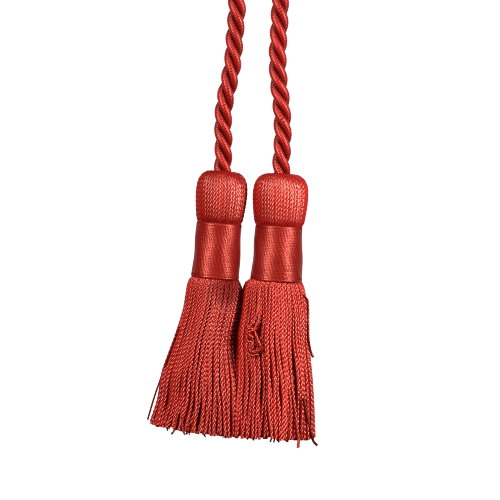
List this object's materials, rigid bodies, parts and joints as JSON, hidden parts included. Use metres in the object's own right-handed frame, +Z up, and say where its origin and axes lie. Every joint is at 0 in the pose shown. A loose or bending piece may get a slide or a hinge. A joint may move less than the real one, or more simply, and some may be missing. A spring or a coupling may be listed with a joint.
{
  "type": "chair tie with tassels",
  "caption": "Hanging chair tie: a twisted cord that bends over at the top, with a bound yarn tassel on each end.",
  "frame": {"origin": "underside of the cord's top bend, where a hook or a rail carries the tie", "axes": "+Z up along the hanging tie, +X to the right tassel, front towards -Y"},
  "size_m": [0.065, 0.0306, 0.2171],
  "materials": {
    "cord_yarn": "twisted rayon cord, soft sheen",
    "tassel_yarn": "plied rayon yarn, satin",
    "band_thread": "wound rayon thread, satin"
  },
  "bodies": {
    "root": {"cord": "cord_yarn", "tassel_left": "tassel_yarn", "tassel_right": "tassel_yarn", "band_left": "band_thread", "band_right": "band_thread"}
  },
  "joints": []
}
